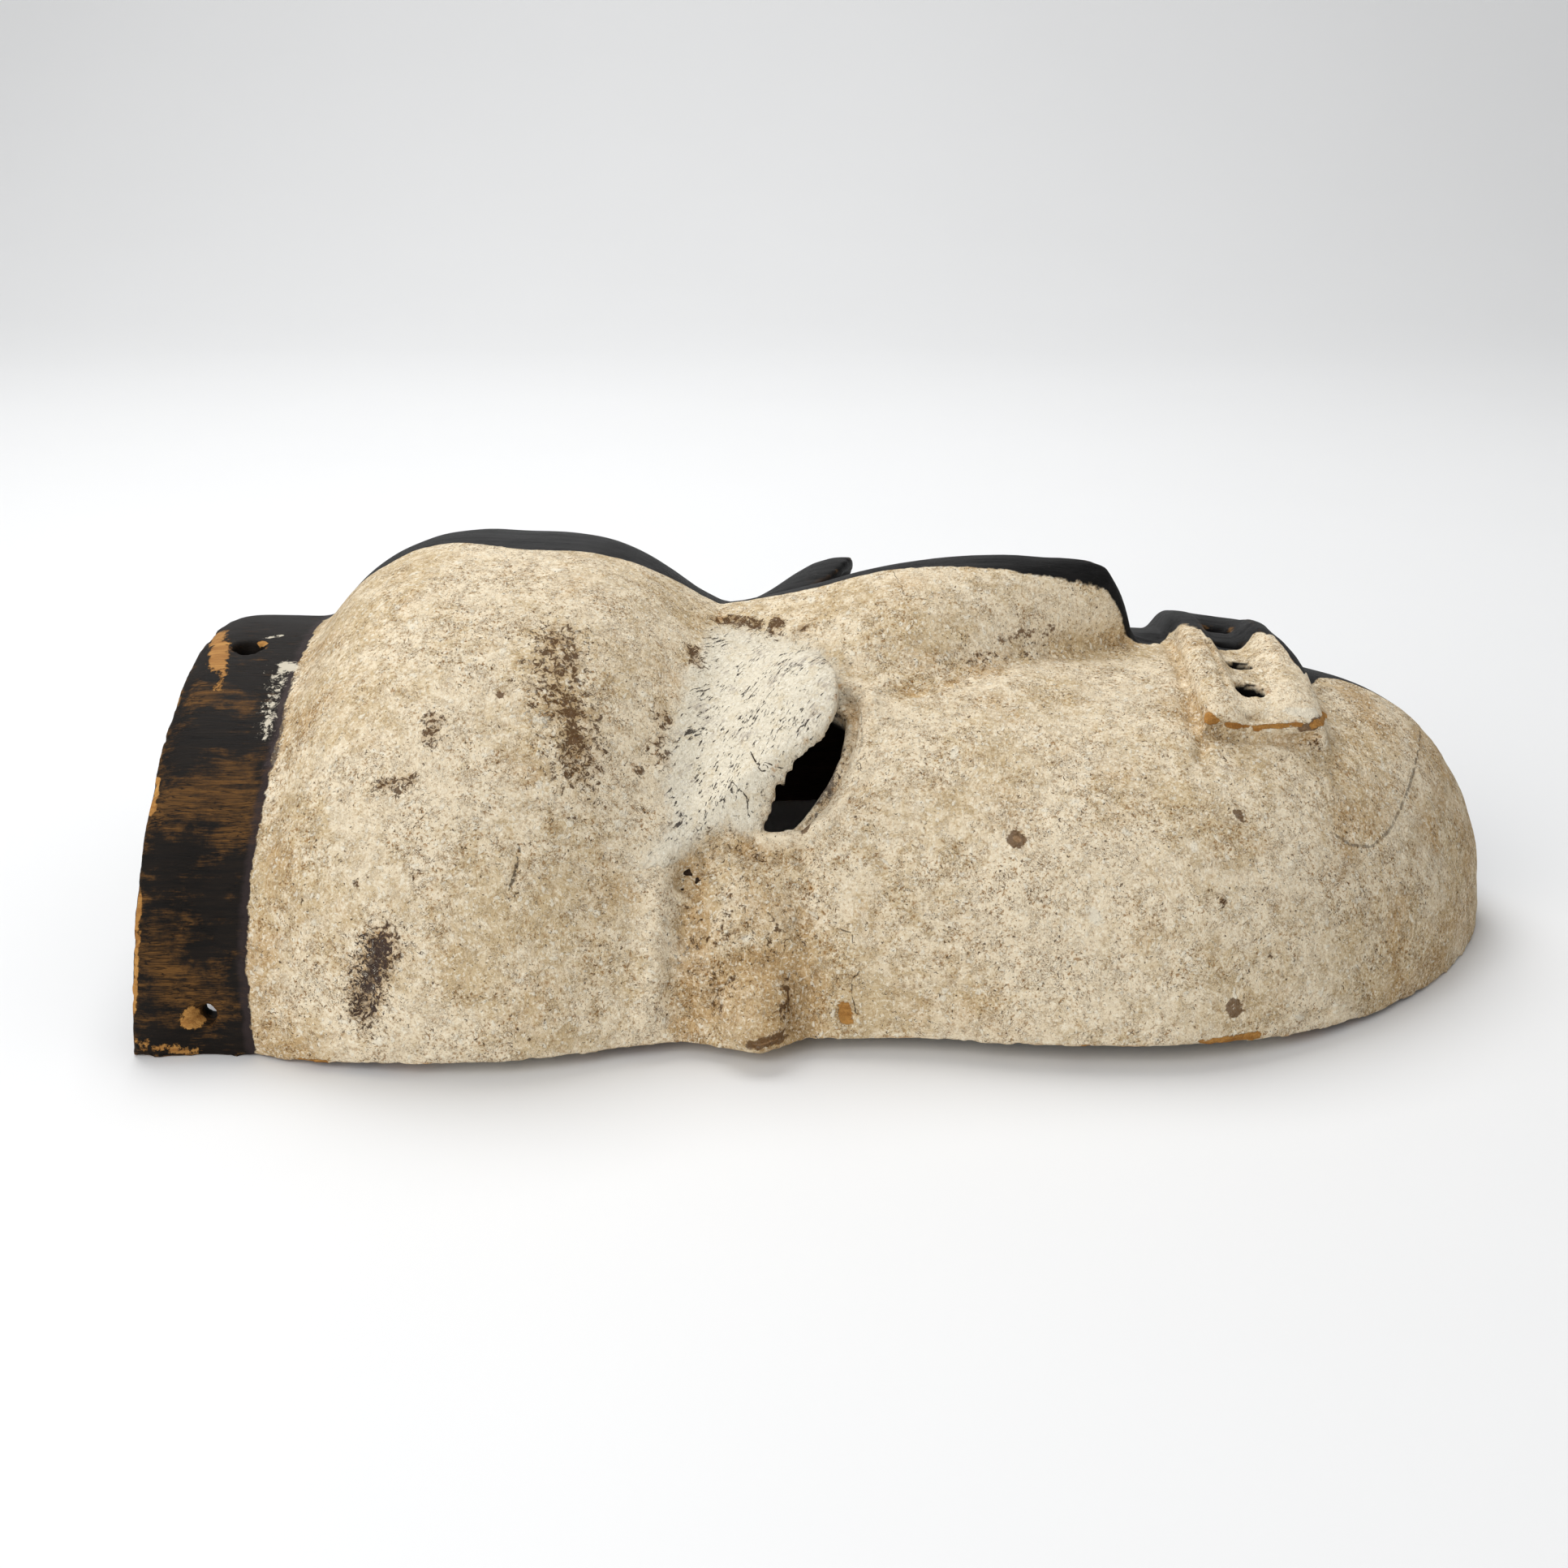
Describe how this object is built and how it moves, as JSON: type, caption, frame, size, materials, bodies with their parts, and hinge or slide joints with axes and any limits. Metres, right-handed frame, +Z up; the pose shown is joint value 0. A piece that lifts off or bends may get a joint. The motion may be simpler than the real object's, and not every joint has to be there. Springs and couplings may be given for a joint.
{
  "type": "carved face mask",
  "caption": "Carved wooden face mask with hooded eyes, long nose and framed mouth, one half pale and one dark, hollow behind and open at the crown.",
  "frame": {"origin": "on the ground, under the middle of the mask's bounding box", "axes": "+X from the crown to the chin, +Y to the black side, +Z up, out of the face"},
  "size_m": [0.3152, 0.181, 0.0941],
  "materials": {
    "painted_wood": "matt kaolin and black paint on carved wood"
  },
  "bodies": {
    "root": {"mask": "painted_wood"}
  },
  "joints": []
}
